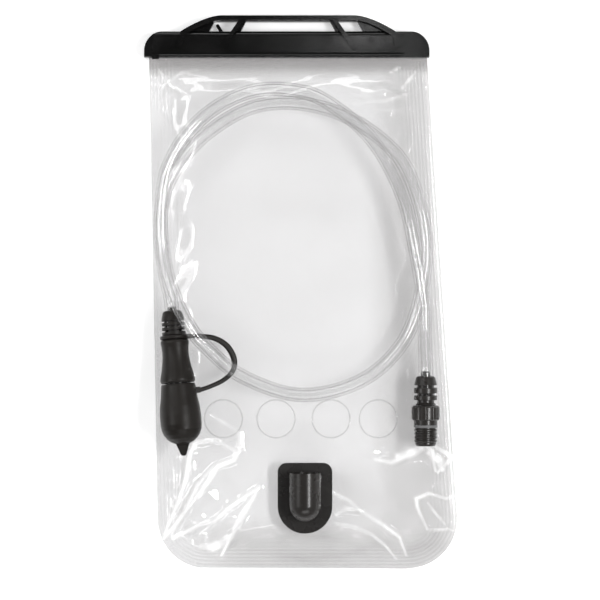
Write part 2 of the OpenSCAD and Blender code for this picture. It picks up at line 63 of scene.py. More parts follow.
# ---------------------------------------------------------------- mesh helpers
def add_mesh(name, verts, faces, material, body=None, smooth=True):
    """A new object in the scene, riding on a body if one is named."""
    mesh = bpy.data.meshes.new(name)
    mesh.from_pydata([tuple(v) for v in verts], [], [tuple(f) for f in faces])
    mesh.update()
    if smooth:
        mesh.polygons.foreach_set("use_smooth", [True] * len(mesh.polygons))
    piece = bpy.data.objects.new(name, mesh)
    bpy.context.scene.collection.objects.link(piece)
    if material:
        mesh.materials.append(material)
    if body:
        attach(piece, body)
    return piece


def grid_faces(rows, cols):
    """Quads of a rows x cols grid of vertices numbered row by row."""
    start = (np.arange(rows - 1)[:, None] * cols + np.arange(cols - 1)).ravel()
    return np.stack([start, start + 1, start + cols + 1, start + cols], axis=1).tolist()


def ring_faces(rings, sides, first=0):
    """Quads between successive closed rings of vertices."""
    return [
        (
            first + i * sides + j,
            first + i * sides + (j + 1) % sides,
            first + (i + 1) * sides + (j + 1) % sides,
            first + (i + 1) * sides + j,
        )
        for i in range(rings - 1)
        for j in range(sides)
    ]


def unit(v):
    return v / np.linalg.norm(v)


def smooth_step(t):
    """0 below 0, 1 above 1, with a smooth rise between."""
    t = np.clip(t, 0, 1)
    return t * t * (3 - 2 * t)


# ---------------------------------------------------------------- materials
class Shader:
    """A node tree built with short calls."""

    def __init__(self, name):
        self.material = bpy.data.materials.new(name)
        self.material.use_nodes = True
        self.tree = self.material.node_tree
        self.tree.nodes.clear()
        self.out = self.add("ShaderNodeOutputMaterial")

    def add(self, kind, **inputs):
        """A node; each keyword is one of its properties or, with _ for a space, one of its sockets."""
        node = self.tree.nodes.new(kind)
        for key, value in inputs.items():
            if hasattr(node, key):
                setattr(node, key, value)
            else:
                self.set(node, key.replace("_", " "), value)
        return node

    def set(self, node, socket, value):
        """Links the socket to another node's output, or gives it a plain value."""
        target = node.inputs[socket]
        if isinstance(value, bpy.types.NodeSocket):
            self.tree.links.new(value, target)
        else:
            target.default_value = value

    def attribute(self, name):
        return self.add("ShaderNodeAttribute", attribute_name=name).outputs["Fac"]

    def noise(self, scale, detail=3.0, stretch=(1, 1, 1)):
        coords = self.add("ShaderNodeTexCoord").outputs["Object"]
        mapping = self.add("ShaderNodeMapping", Vector=coords, Scale=stretch)
        node = self.add("ShaderNodeTexNoise", Vector=mapping.outputs["Vector"], Scale=scale,
                        Detail=detail, Roughness=0.55)
        return node.outputs["Fac"]

    def ramp(self, value, low, high, span=(0.3, 0.7)):
        """low to high while value goes through span."""
        node = self.add("ShaderNodeMapRange", Value=value)
        for socket, number in zip(("From Min", "From Max", "To Min", "To Max"), (*span, low, high)):
            node.inputs[socket].default_value = number
        return node.outputs["Result"]

    def math(self, operation, first, second):
        node = self.add("ShaderNodeMath", operation=operation)
        self.set(node, 0, first)
        self.set(node, 1, second)
        return node.outputs[0]

    def mix_color(self, factor, first, second):
        """Colours are tuples of three, or outputs of other nodes."""
        node = self.add("ShaderNodeMix", data_type="RGBA", Factor=factor)
        for socket, color in ((6, first), (7, second)):
            self.set(node, socket, (*color, 1) if isinstance(color, tuple) else color)
        return node.outputs[2]

    def bump(self, height, strength, distance):
        node = self.add("ShaderNodeBump", Strength=strength, Distance=distance, Height=height)
        return node.outputs["Normal"]

    def mix(self, factor, first, second):
        node = self.add("ShaderNodeMixShader", Fac=factor)
        self.set(node, 1, first)
        self.set(node, 2, second)
        return node.outputs[0]

    def let_lamps_through(self, surface, shade):
        """Lamps shine through with the given shade; every other ray meets the surface."""
        lamp_way = self.add("ShaderNodeBsdfTransparent", Color=(*shade, 1))
        rays = self.add("ShaderNodeLightPath")
        return self.mix(rays.outputs["Is Shadow Ray"], surface, lamp_way.outputs[0])

    def finish(self, surface):
        self.tree.links.new(surface, self.out.inputs["Surface"])
        return self.material


def moulded(name, dark, light, roughness, grain_mm=0.5, grain_depth=0.04 * MM, shine=0.35):
    """Moulded plastic or rubber: fine grain, uneven colour and uneven polish."""
    s = Shader(name)
    mottling = s.noise(60, 4)
    grain = s.noise(1000 / grain_mm, 2)
    base = s.add("ShaderNodeBsdfPrincipled", Roughness=s.ramp(mottling, *roughness))
    s.set(base, "Base Color", s.mix_color(mottling, dark, light))
    s.set(base, "Normal", s.bump(grain, 0.5, grain_depth))
    s.set(base, "Specular IOR Level", shine)
    return s.finish(base.outputs[0])


def clear_sheet(name, tint, edge_tint, border_tint, shade, haze, gloss_roughness, bump, mirror_top):
    """Thin clear plastic that lets light through and mirrors the lamps.

    It greys where it is seen edge on, and where its painted shade attribute rises it takes on a painted
    shade tint and mirrors less. Along its fold ridges its colour is painted white, a painted highlight."""
    s = Shader(name)
    border = s.attribute("border")
    fine = s.noise(900, 2)
    normal = s.bump(s.noise(110, 1, stretch=(1, 0.5, 1)), 0.35, bump)
    facing = s.add("ShaderNodeLayerWeight", Blend=0.35, Normal=normal).outputs["Facing"]
    # Edge-on grey, then the painted shade tint where the painted shade attribute rises.
    greyed = s.mix_color(border, s.mix_color(facing, tint, edge_tint), border_tint)
    # Painted highlight: the colour goes to white along the fold ridges.
    painted_highlight_color = s.mix_color(s.attribute("fold"), greyed, (1.0, 1.0, 1.0))
    through = s.add("ShaderNodeBsdfTransparent", Color=painted_highlight_color)
    front_milk = s.add("ShaderNodeBsdfDiffuse", Color=MILK, Normal=normal)
    back_milk = s.add("ShaderNodeBsdfTranslucent", Color=MILK, Normal=normal)
    milk = s.mix(0.4, front_milk.outputs[0], back_milk.outputs[0])
    veil = s.mix(s.ramp(fine, haze * 0.7, haze * 1.3), through.outputs[0], milk)
    gloss = s.add("ShaderNodeBsdfGlossy", Color=(1, 1, 1, 1), Roughness=gloss_roughness, Normal=normal)
    fresnel = s.add("ShaderNodeFresnel", IOR=1.45, Normal=normal).outputs[0]
    # Reflections fade where the painted shade rises.
    mirror = s.math("MULTIPLY", s.math("MINIMUM", fresnel, mirror_top), s.ramp(border, 1, 0.08, (0, 0.4)))
    return s.finish(s.let_lamps_through(s.mix(mirror, veil, gloss.outputs[0]), shade))


def clear_solid(name, tint, shade, roughness):
    """Thick clear plastic that bends light."""
    s = Shader(name)
    streaks = s.noise(220, 2)
    normal = s.bump(streaks, 0.2, 0.05 * MM)
    glass = s.add("ShaderNodeBsdfPrincipled", IOR=1.45, Roughness=roughness, Normal=normal)
    s.set(glass, "Base Color", s.mix_color(streaks, tint, tuple(0.98 * c for c in tint)))
    s.set(glass, "Transmission Weight", 1)
    return s.finish(s.let_lamps_through(glass.outputs[0], shade))


MILK = (0.93, 0.93, 0.935, 1)
# Film tints: clear, edge on, painted shade, and what lamps see through it.
FILM_TINTS = ((0.931, 0.93, 0.931), (0.82, 0.816, 0.814), (0.79, 0.786, 0.785), (0.93, 0.93, 0.93))
FILM = clear_sheet("clear_film", *FILM_TINTS, haze=0.012, gloss_roughness=0.07, bump=0.06 * MM,
                   mirror_top=0.11)
BACK_FILM = clear_sheet("clear_film_back", *FILM_TINTS, haze=0.035, gloss_roughness=0.1, bump=0.08 * MM,
                        mirror_top=0.12)
# Tube tints in the same order; the tube has no painted shade attribute, so its third tint goes unused.
TUBE_TINTS = ((0.99, 0.99, 0.99), (0.77, 0.766, 0.766), (0.98, 0.98, 0.982), (0.82, 0.82, 0.82))
TUBE = clear_sheet("clear_tube", *TUBE_TINTS, haze=0.045, gloss_roughness=0.08, bump=0.05 * MM,
                   mirror_top=0.08)
RAIL = clear_solid("clear_rail", (0.95, 0.96, 0.97), (0.8, 0.8, 0.8), 0.15)
BLACK_GLOSS = moulded("black_gloss", (0.003, 0.003, 0.003), (0.007, 0.007, 0.007), (0.12, 0.2),
                      grain_mm=0.6, grain_depth=0.012 * MM)
BLACK_SATIN = moulded("black_satin", (0.02, 0.018, 0.0165), (0.027, 0.0245, 0.0225), (0.22, 0.32), shine=0.4)
WARM_RUBBER = moulded("warm_rubber", (0.012, 0.0102, 0.0088), (0.017, 0.0146, 0.0128), (0.34, 0.48),
                      grain_depth=0.06 * MM, shine=0.22)
SEAL_RUBBER = moulded("seal_rubber", (0.01, 0.01, 0.01), (0.016, 0.016, 0.016), (0.4, 0.55), grain_mm=0.4)
SMOKE_SILICONE = moulded("smoke_silicone", (0.02, 0.02, 0.02), (0.03, 0.03, 0.03), (0.35, 0.5))
GREY_RUBBER = moulded("grey_rubber", (0.14, 0.14, 0.143), (0.19, 0.19, 0.193), (0.45, 0.6), grain_mm=0.4)

CAD_LOOKS = {
    "slide_clip": BLACK_GLOSS, "port_body": BLACK_SATIN, "barb_stem": BLACK_SATIN,
    "threaded_coupling": BLACK_SATIN, "coupling_gasket": GREY_RUBBER, "stem_o_ring": SEAL_RUBBER,
    "coupling_boot": BLACK_SATIN, "valve_boot": WARM_RUBBER, "valve_stem": BLACK_SATIN,
    "valve_grip": WARM_RUBBER, "valve_slider": BLACK_SATIN, "slider_o_ring": SEAL_RUBBER,
    "bite_valve": SMOKE_SILICONE, "dust_cap": WARM_RUBBER, "cap_tether": WARM_RUBBER,
    "front_mouth_rail": RAIL, "back_mouth_rail": RAIL, "drink_tube": TUBE,
    "front_film": FILM, "back_film": BACK_FILM,
}


def dress_cad_nodes():
    """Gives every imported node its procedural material."""
    for name, material in CAD_LOOKS.items():
        slots = NODES[name].material_slots
        if not slots:
            NODES[name].data.materials.append(material)
        for slot in slots:
            slot.material = material


def soften_edges(name, width):
    """Rounds the sharp edges of a moulded node."""
    bevel = NODES[name].modifiers.new("soft_edges", "BEVEL")
    bevel.width = width
    bevel.segments = 3
    bevel.limit_method = "ANGLE"
    bevel.angle_limit = math.radians(35)
    bevel.use_clamp_overlap = True


dress_cad_nodes()
soften_edges("slide_clip", 0.45 * MM)
soften_edges("port_body", 0.3 * MM)

# ---------------------------------------------------------------- the bag's outline, from its CAD film
FILM_LOW, FILM_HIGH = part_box("front_film")
BACK_TOP_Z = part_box("back_film")[1].z
FLANGE_LOW, FLANGE_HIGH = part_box("port_body")
CLIP_BOTTOM_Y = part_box("slide_clip")[0].y
FILM_T = 0.3 * MM
# Gaps between each film and the welded plane, and between the front film and what rests on it.
SEAM_GAP = 0.05 * MM
REST_GAP = 0.5 * MM
MID_Z = (FILM_LOW.z + BACK_TOP_Z) / 2
WELD = 10 * MM
WELD_PITCH = 2.4 * MM
SWELL = 16.9 * MM
MOUTH_FLAT = 19 * MM
# The port's tunnel: half width, and where its open front and its round far end are.
TUNNEL_R = 10.5 * MM
TUNNEL_LENGTH = 32 * MM
PORT_X = (FLANGE_LOW.x + FLANGE_HIGH.x) / 2
TUNNEL_Y = FLANGE_HIGH.y - 6 * MM
TUNNEL_FAR_Y = TUNNEL_Y - TUNNEL_LENGTH + TUNNEL_R


def film_hull():
    """Outline of the bag seen from the front, counter-clockwise: the convex hull of its film."""
    points = sorted({(round(v.co.x, 6), round(v.co.y, 6)) for v in NODES["front_film"].data.vertices})

    def half(seq):
        chain = []
        for p in seq:
            while len(chain) > 1:
                a, b = chain[-2], chain[-1]
                if (b[0] - a[0]) * (p[1] - a[1]) - (b[1] - a[1]) * (p[0] - a[0]) > 0:
                    break
                chain.pop()
            chain.append(p)
        return chain[:-1]

    return np.array(half(points) + half(points[::-1]))


HULL = film_hull()
BOTTOM_Y, MOUTH_Y = HULL[:, 1].min(), HULL[:, 1].max()


def side_x(y, side):
    """x of the left (-1) or right (+1) edge of the bag at height y."""
    following = np.roll(HULL, -1, axis=0)
    rising = following[:, 1] > HULL[:, 1]
    pick = rising if side > 0 else ~rising
    a, b = HULL[pick], following[pick]
    ends = np.concatenate([a, b])
    order = np.argsort(ends[:, 1], kind="stable")
    return np.interp(y, ends[order, 1], ends[order, 0])


def edge_distance(x, y):
    """Distance in from the welded sides and bottom."""
    following = np.roll(HULL, -1, axis=0)
    best = np.full(x.shape, 1.0)
    for a, b in zip(HULL, following):
        along = b - a
        if min(a[1], b[1]) > MOUTH_Y - 3 * MM:
            continue
        inward = np.array([-along[1], along[0]]) / np.linalg.norm(along)
        best = np.minimum(best, (x - a[0]) * inward[0] + (y - a[1]) * inward[1])
    return best


def swell(x, y):
    """Share of the bag's full half thickness, 0 in the welds to 1 in the middle."""
    sway = 2.6 * MM * np.sin(88 * y + 60 * x) + 1.7 * MM * np.sin(215 * y - 120 * x) - 2 * MM
    side = smooth_step((edge_distance(x, y) + sway - WELD) / SWELL)
    top = smooth_step((MOUTH_Y - MOUTH_FLAT + sway - y) / SWELL)
    return side * top


def stations(length, fine_to, fine, medium_to, medium, coarse):
    """Grid stations from an edge inwards: fine steps, then medium, then coarse."""
    return np.concatenate([
        np.arange(0, fine_to, fine), np.arange(fine_to, medium_to, medium),
        np.linspace(medium_to, length, max(2, round((length - medium_to) / coarse) + 1)),
    ])


def bag_grid(rows, cols):
    """x and y of a grid over the bag; cols run from 0 at its left edge to 1 at its right."""
    left, right = side_x(rows, -1)[:, None], side_x(rows, 1)[:, None]
    return left + (right - left) * cols[None, :], np.repeat(rows[:, None], len(cols), axis=1)


def fine_rows():
    """Heights of the film's rows, closest together in the bottom weld."""
    height = MOUTH_Y - BOTTOM_Y
    return BOTTOM_Y + stations(height, 14 * MM, 0.55 * MM, 90 * MM, 1.1 * MM, 1.5 * MM)


def fine_cols():
    """Shares of the width for the film's columns, closest together in the side welds."""
    width = side_x(np.array([0.0]), 1)[0] - side_x(np.array([0.0]), -1)[0]
    half = stations(width / 2, 14 * MM, 0.5 * MM, 45 * MM, 1.0 * MM, 1.5 * MM) / width
    return np.concatenate([half, 1 - half[-2::-1]])


# ---------------------------------------------------------------- cloth: how the film crumples
SHEET_SHAPE = (121, 71)
CLOTH_FRAMES = 18
CRUMPLE_LIMIT = 3 * MM


def in_flange(x, y, margin):
    return (
        (x > FLANGE_LOW.x - margin) & (x < FLANGE_HIGH.x + margin)
        & (y > FLANGE_LOW.y - margin) & (y < FLANGE_HIGH.y + margin)
    )


def crumple():
    """Simulates one slack film held at its welds and at the port.

    Returns how far each point of a coarse grid moved in z."""
    x, y = bag_grid(np.linspace(BOTTOM_Y, MOUTH_Y, SHEET_SHAPE[0]), np.linspace(0, 1, SHEET_SHAPE[1]))
    share = swell(x, y)
    level = (FILM_HIGH.z - MID_Z) * share
    ripple = 0.25 * MM * np.sin(x * 310) * np.cos(y * 270) * share
    verts = np.stack([x.ravel(), y.ravel(), (level + ripple).ravel()], axis=1)
    sheet = add_mesh("crumple", verts, grid_faces(*x.shape), None)
    held = (share < 0.02) | in_flange(x, y, 2 * MM)
    group = sheet.vertex_groups.new(name="held")
    group.add([int(i) for i in np.flatnonzero(held.ravel())], 1.0, "REPLACE")
    cloth = sheet.modifiers.new("cloth", "CLOTH").settings
    cloth.quality = 6
    cloth.mass = 0.05
    cloth.tension_stiffness = 60
    cloth.compression_stiffness = 60
    cloth.bending_stiffness = 0.02
    cloth.shrink_min = -0.02
    cloth.use_pressure = True
    cloth.uniform_pressure_force = 0.15
    cloth.vertex_group_mass = "held"
    cloth.effector_weights.gravity = 0
    scene = bpy.context.scene
    for step in range(CLOTH_FRAMES):
        scene.frame_set(step + 1)
    result = sheet.evaluated_get(bpy.context.evaluated_depsgraph_get())
    moved = np.array([v.co.z for v in result.data.vertices]).reshape(x.shape) - level
    scene.frame_set(1)
    bpy.data.objects.remove(sheet)
    return np.clip(moved, -CRUMPLE_LIMIT, CRUMPLE_LIMIT)


def sample(field, rows, cols):
    """Field on the coarse grid, read at fine rows and cols by linear interpolation."""
    row_at = (rows - BOTTOM_Y) / (MOUTH_Y - BOTTOM_Y) * (field.shape[0] - 1)
    col_at = cols * (field.shape[1] - 1)
    r0 = np.clip(row_at.astype(int), 0, field.shape[0] - 2)
    c0 = np.clip(col_at.astype(int), 0, field.shape[1] - 2)
    fr, fc = (row_at - r0)[:, None], (col_at - c0)[None, :]
    top = field[r0][:, c0] * (1 - fc) + field[r0][:, c0 + 1] * fc
    low = field[r0 + 1][:, c0] * (1 - fc) + field[r0 + 1][:, c0 + 1] * fc
    return top * (1 - fr) + low * fr


# ---------------------------------------------------------------- folds, facets and painted shade streaks of the film
# Creases: points along each, then its half width and its height, all in mm.
CREASES = [
    # a fan from the bottom left corner
    ([(-82.5, -161.5), (-74.5, -142), (-68.5, -125.5), (-65, -106.5), (-61, -100), (-53, -99),
      (-45.5, -100), (-34, -106.5)], 2.2, 1.3),
    ([(-32.5, -93.5), (-32, -105), (-36, -111.5), (-47, -116), (-53, -126.5), (-63, -138.5),
      (-77, -157), (-83, -164)], 2.2, 1.4),
    ([(-52, -81.5), (-44.5, -86), (-36, -91), (-32.5, -93.5)], 1.5, 0.8),
    ([(-50, -116), (-60.5, -129), (-69.5, -147.5), (-78, -161.5)], 1.8, 1),
    ([(-19, -129.5), (-27.5, -135.5), (-40, -144), (-49, -152.5), (-58.5, -154.5), (-77, -164.5)],
     2.0, 1.2),
    ([(-19, -129.5), (-27.5, -144), (-33.5, -155), (-39, -164.5), (-44.5, -175.5)], 2.0, 1.3),
    ([(-58, -169.5), (-50, -170), (-44, -167), (-40, -163)], 4, 1.3),
    # folds below and right of the port
    ([(22, -128.5), (32, -134.5), (40, -138.5), (46.5, -144), (56, -150.5), (63.5, -155),
      (74.5, -163.5), (79, -175.5)], 1.6, 1.1),
    ([(31, -154), (43, -156), (56, -161.5), (65, -169), (72.5, -178)], 1.4, 0.9),
    ([(31, -148.5), (38.5, -144), (46, -145)], 1.8, 1),
    # loop in the bottom right corner
    ([(93, -158), (86.5, -144), (85.5, -137.5), (94, -134), (105.5, -137.5), (112, -135.5)], 1.7, 1.2),
    ([(93, -158.5), (107.5, -158), (113, -159.5)], 1.3, 0.8),
    ([(93, -140), (98.5, -147.5), (105, -155)], 1.4, 0.8),
    # dimple under the coupling
    ([(90, -100.5), (80, -108), (69, -113.5), (58.5, -111.5)], 2.4, 1.1),
    ([(90, -100.5), (96.5, -106), (98.5, -119)], 2.0, 1.2),
    ([(96.5, -101.5), (109.5, -110), (100, -120)], 2.2, 1.2),
    ([(73, -109), (80, -107.5), (89, -104)], 4, 1.3),
    ([(94, -107), (101, -112), (103, -118)], 4, 1.3),
    # top right corner, under the clip
    ([(68.5, 147), (75, 150.5)], 1.6, 0.8),
    ([(76, 136), (85, 147)], 1.6, 0.9),
    ([(44, 126.5), (64, 127.5), (80, 132.5)], 1.2, 0.5),
    ([(51, 121), (80, 121)], 0.9, 0.35),
    ([(36, 136), (58.5, 136)], 0.9, 0.35),
    ([(36, 131.5), (58.5, 131.5)], 0.9, 0.35),
    # top left corner
    ([(-86, 148), (-78, 138), (-70, 134)], 1.6, 0.7),
    ([(-84, 137), (-72, 146), (-60, 149)], 1.4, 0.5),
]
# Ridges stand this much taller than their listed height.
CREASE_GAIN = 1.9

# Patches of small sharp facets: centre x y, reach x y, facet size and height, all in mm.
CRINKLES = [
    (-84, -166, 13, 13, 7, 2.4),
    (-58, -130, 30, 34, 19, 1.9),
    (-40, -160, 26, 14, 15, 1.5),
    (84, -107, 27, 11, 13, 2.6),
    (98, -146, 17, 17, 14, 1.6),
    (58, -155, 30, 22, 20, 1.7),
    (78, 136, 20, 16, 10, 1.3),
    (-78, 136, 16, 16, 10, 1.0),
    (0, -70, 90, 26, 34, 0.9),
    (0, 20, 150, 150, 60, 0.8),
]

# Painted shade: soft darker streaks, given as the creases are; the last number is how much darker.
PAINTED_SHADE_STREAKS = [
    ([(-12, -175), (14, -178), (38, -175), (60, -169)], 4, 0.16),
    ([(76, -174), (92, -169), (104, -158)], 6, 0.18),
    ([(-10, -168), (6, -160), (20, -161), (34, -166)], 3, 0.1),
    ([(34, -118), (38, -132), (36, -146)], 4, 0.1),
    ([(-20, 60), (20, 52), (40, 58)], 14, 0.07),
    ([(-58, -40), (-40, -52), (-20, -60)], 9, 0.07),
]


def crinkle_height(x, y, patch, seed):
    """Facets between five sets of folds that run different ways, fading out round the centre."""
    cx, cy, rx, ry, size, height = (v * MM for v in patch)
    rng = np.random.default_rng(seed)
    total = 0
    for _ in range(5):
        turn, phase, sway = rng.uniform(0, np.pi), rng.uniform(0, 2), rng.uniform(0, 6)
        pitch = size * rng.uniform(0.7, 1.7)
        along = x * np.cos(turn) + y * np.sin(turn)
        across = x * np.sin(turn) - y * np.cos(turn)
        wave = (along + 0.25 * size * np.sin(across / size * 1.7 + sway)) / pitch + phase
        fold = np.abs(wave % 2 - 1)
        total = total + np.sqrt((fold - 0.5) ** 2 + 0.002) - 0.25
    fade = np.exp(-(((x - cx) / rx) ** 2 + ((y - cy) / ry) ** 2))
    return height * total * fade


def along_line(x, y, points):
    """Distance from a line of points in mm, and how far along it the nearest place is (0 to 1)."""
    pts = np.array(points) * MM
    steps = np.linalg.norm(np.diff(pts, axis=0), axis=1)
    best, at, before = np.full(x.shape, 1.0), np.zeros(x.shape), 0.0
    for a, b, length in zip(pts[:-1], pts[1:], steps):
        t = np.clip(((x - a[0]) * (b[0] - a[0]) + (y - a[1]) * (b[1] - a[1])) / length**2, 0, 1)
        d = np.hypot(x - a[0] - t * (b[0] - a[0]), y - a[1] - t * (b[1] - a[1]))
        at = np.where(d < best, (before + t * length) / steps.sum(), at)
        best = np.minimum(best, d)
        before += length
    return best, at


def crease_height(x, y, points, half_width, height):
    """A soft ridge that follows the points and fades at both ends."""
    distance, at = along_line(x, y, points)
    fade = np.clip(6 * at, 0, 1) * np.clip(6 * (1 - at), 0, 1)
    return height * MM * (0.35 + 0.65 * fade) * np.exp(-np.power(distance / (half_width * MM), 1.4))


def painted_highlight_line(x, y, points, half_width, height):
    """Painted highlight along a ridge, how much the film's colour goes to white: strong and weak by turns, 1
    on its crest.
    """
    distance, at = along_line(x, y, points)
    uneven = 0.75 + 0.25 * np.sin(9 * at + 40 * points[0][0] * MM)
    width = 0.62 * half_width * MM * (0.7 + 0.5 * np.sin(np.pi * at))
    return np.clip(0.75 * height, 0, 1) * uneven * np.exp(-np.power(distance / width, 4))


def weld_ridges(x, y):
    """Parallel ridges pressed into the welded edge band, and flat bands across the mouth."""
    d = edge_distance(x, y)
    in_border = smooth_step(d / MM) * (0.35 * smooth_step((26 * MM - d) / (6 * MM)) + 0.65 * (d < 13 * MM))
    ridges = 0.13 * MM * (1 + np.cos(2 * np.pi * d / WELD_PITCH))
    drop = MOUTH_Y - y
    in_mouth = smooth_step((drop - 12 * MM) / (3 * MM)) * smooth_step((36 * MM - drop) / (6 * MM))
    bands = 0.1 * MM * (1 + np.cos(2 * np.pi * drop / (5 * MM)))
    return ridges * in_border + bands * in_mouth


RESTING_NODES = ("drink_tube", "valve_boot", "valve_grip", "dust_cap", "cap_tether",
                 "coupling_boot", "threaded_coupling", "coupling_gasket", "barb_stem")


def ceiling_over(x, y):
    """Height of the lowest surface that lies over each point of the front film."""
    verts, faces = [], []
    for node in RESTING_NODES:
        mesh = NODES[node].data
        first = len(verts)
        verts += [v.co.copy() for v in mesh.vertices]
        faces += [[first + i for i in p.vertices] for p in mesh.polygons]
    tree = BVHTree.FromPolygons(verts, faces)
    up = Vector((0, 0, 1))
    roof = np.full(x.shape, 1.0)
    for i in np.ndindex(x.shape):
        hit = tree.ray_cast(Vector((x[i], y[i], -0.01)), up)[0]
        if hit:
            roof[i] = hit.z
    for shift in (1, -1):
        for axis in (0, 1):
            roof = np.minimum(roof, np.roll(roof, shift, axis=axis))
    return roof


def painted_shade_field(x, y, facets):
    """How much darker than the middle the film is painted, as painted shade: a painted shadow under the
    clip, painted shade down the right side, along the bottom and towards the bottom right, in lines at the
    weld ridges' pitch, in streaks and over the facets.
    """
    d = edge_distance(x, y)
    # Painted shadow under the clip, then painted shade down the right, along the bottom and towards the
    # bottom right.
    mouth = smooth_step((y - CLIP_BOTTOM_Y + 14 * MM) / (12 * MM))
    right = 0.4 * smooth_step((x - 50 * MM) / (26 * MM)) * smooth_step((d + 2 * MM) / (7 * MM))
    low = 0.46 * smooth_step((-146 * MM - y) / (24 * MM)) * smooth_step((x + 75 * MM) / (50 * MM))
    corner = 0.16 * smooth_step((-105 * MM - y) / (30 * MM)) * smooth_step((x - 15 * MM) / (30 * MM))
    # Painted shade in lines at the weld ridges' pitch, painted shade streaks, and painted shade over the
    # facets.
    lines = 0.09 * np.cos(2 * np.pi * d / WELD_PITCH) * smooth_step((22 * MM - d) / (6 * MM))
    painted_shade_streaks = sum(crease_height(x, y, *stroke) for stroke in PAINTED_SHADE_STREAKS) / MM
    broad = np.maximum.reduce([mouth, right, low, corner])
    return np.clip(broad + painted_shade_streaks + lines + facets / (9 * MM), 0, 1)


def film_height(x, y, up, moved, facets):
    """How far one film stands off the plane where the two are welded."""
    half_depth = FILM_HIGH.z - MID_Z - FILM_T
    slack = smooth_step((edge_distance(x, y) - 4 * MM) / (8 * MM))
    slack = slack * smooth_step((MOUTH_Y - 21 * MM - y) / (6 * MM))
    folds = sample(moved, fine_rows(), fine_cols()) + facets
    for crease in CREASES:
        folds = folds + CREASE_GAIN * crease_height(x, y, *crease)
    height = np.maximum(half_depth * swell(x, y) + folds * slack + weld_ridges(x, y), 0)
    if up < 0:
        return np.minimum(height, half_depth)
    height = lay_on_flange(x, y, height, half_depth)
    roof = ceiling_over(x, y) - REST_GAP - MID_Z
    return np.minimum(height, np.maximum(roof, 0))


def film_piece(name, node, up, moved, material, seed):
    """One wall film as a closed sheet FILM_T thick. up is +1 for the front and -1 for the back."""
    x, y = bag_grid(fine_rows(), fine_cols())
    facets = sum(crinkle_height(x, y, patch, seed + k) for k, patch in enumerate(CRINKLES))
    z = MID_Z + up * (film_height(x, y, up, moved, facets) + SEAM_GAP)
    verts = np.stack([x.ravel(), y.ravel(), z.ravel()], axis=1)
    faces = grid_faces(*x.shape)
    faces = cut_for_port(verts, faces) if up > 0 else [f[::-1] for f in faces]
    piece = add_mesh(name, verts, faces, material, "reservoir")
    # Painted highlight along the creases, and painted shade, both handed to the film's shader as attributes.
    folds = np.maximum.reduce([painted_highlight_line(x, y, *crease) for crease in CREASES])
    for attribute, values in (("border", painted_shade_field(x, y, facets)), ("fold", folds)):
        layer = piece.data.attributes.new(attribute, "FLOAT", "POINT")
        layer.data.foreach_set("value", values.ravel().astype(np.float32))
    solid = piece.modifiers.new("thickness", "SOLIDIFY")
    solid.thickness = FILM_T
    solid.offset = 1
    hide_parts(node)


def lay_on_flange(x, y, height, half_depth):
    """The front film is bonded flat over the port's flange."""
    outside = np.hypot(np.maximum(np.maximum(FLANGE_LOW.x - x, x - FLANGE_HIGH.x), 0),
                       np.maximum(np.maximum(FLANGE_LOW.y - y, y - FLANGE_HIGH.y), 0))
    over = smooth_step((3 * MM - outside) / (3 * MM))
    return height * (1 - over) + half_depth * over


def cut_for_port(verts, faces):
    """Leaves the film open where the port's tunnel stands through it."""
    overlap = 0.6 * MM

    def inside(i):
        dx, y = abs(verts[i][0] - PORT_X), verts[i][1]
        if y > TUNNEL_FAR_Y:
            return dx < TUNNEL_R - overlap and y < TUNNEL_Y - overlap
        return math.hypot(dx, y - TUNNEL_FAR_Y) < TUNNEL_R - overlap

    return [f for f in faces if not all(inside(i) for i in f)]


# ---------------------------------------------------------------- drink tube
TUBE_R = 4.75 * MM
TUBE_BORE_R = 3.2 * MM
LOW_Z = FILM_HIGH.z + TUBE_R + 0.15 * MM

JOINTS = {joint["name"]: joint for joint in frame["joints"]}
COUPLING_TIP = np.array(JOINTS["coupling_swivel"]["pos_m"], float)
COUPLING_DIR = unit(np.array(JOINTS["coupling_swivel"]["axis"], float))
VALVE_DIR = unit(np.array(JOINTS["cap_pull"]["axis"], float))
VALVE_START = np.array([-76.8 * MM, -9.6 * MM, FILM_HIGH.z + 8.2 * MM])
COIL_CENTRE = (1.3 * MM, 32.9 * MM)
# Coil stations, as in the CAD: angle about the centre, radius and height of the tube's centre in mm.
LOW = LOW_Z / MM
COIL = [
    (-36, 110.2, 24.8), (-23, 95.6, 27.6), (-3, 82.8, 27.8), (18, 80.1, 27.6), (38, 82.4, 27.6),
    (54, 87.4, 27.6), (70, 93.3, 26.8), (84, 99.6, 25), (104, 103, 24), (125, 100.6, 24.4),
    (147, 94.6, 27.2), (168, 86.6, 28), (190, 83.4, 28.8), (207, 83.9, 31), (218, 85.6, 30.6),
    (229, 87.8, 28.4), (250, 93.6, 24), (275, 101.2, 18.2), (300, 102.8, LOW), (323, 98.5, LOW),
    (352, 90.8, LOW), (375, 89.6, LOW), (400, 92, LOW), (432, 92, LOW), (462, 93.4, LOW),
    (490, 90.9, LOW), (514, 89.9, LOW), (534, 86.4, LOW), (552, 85, LOW + 0.6),
]


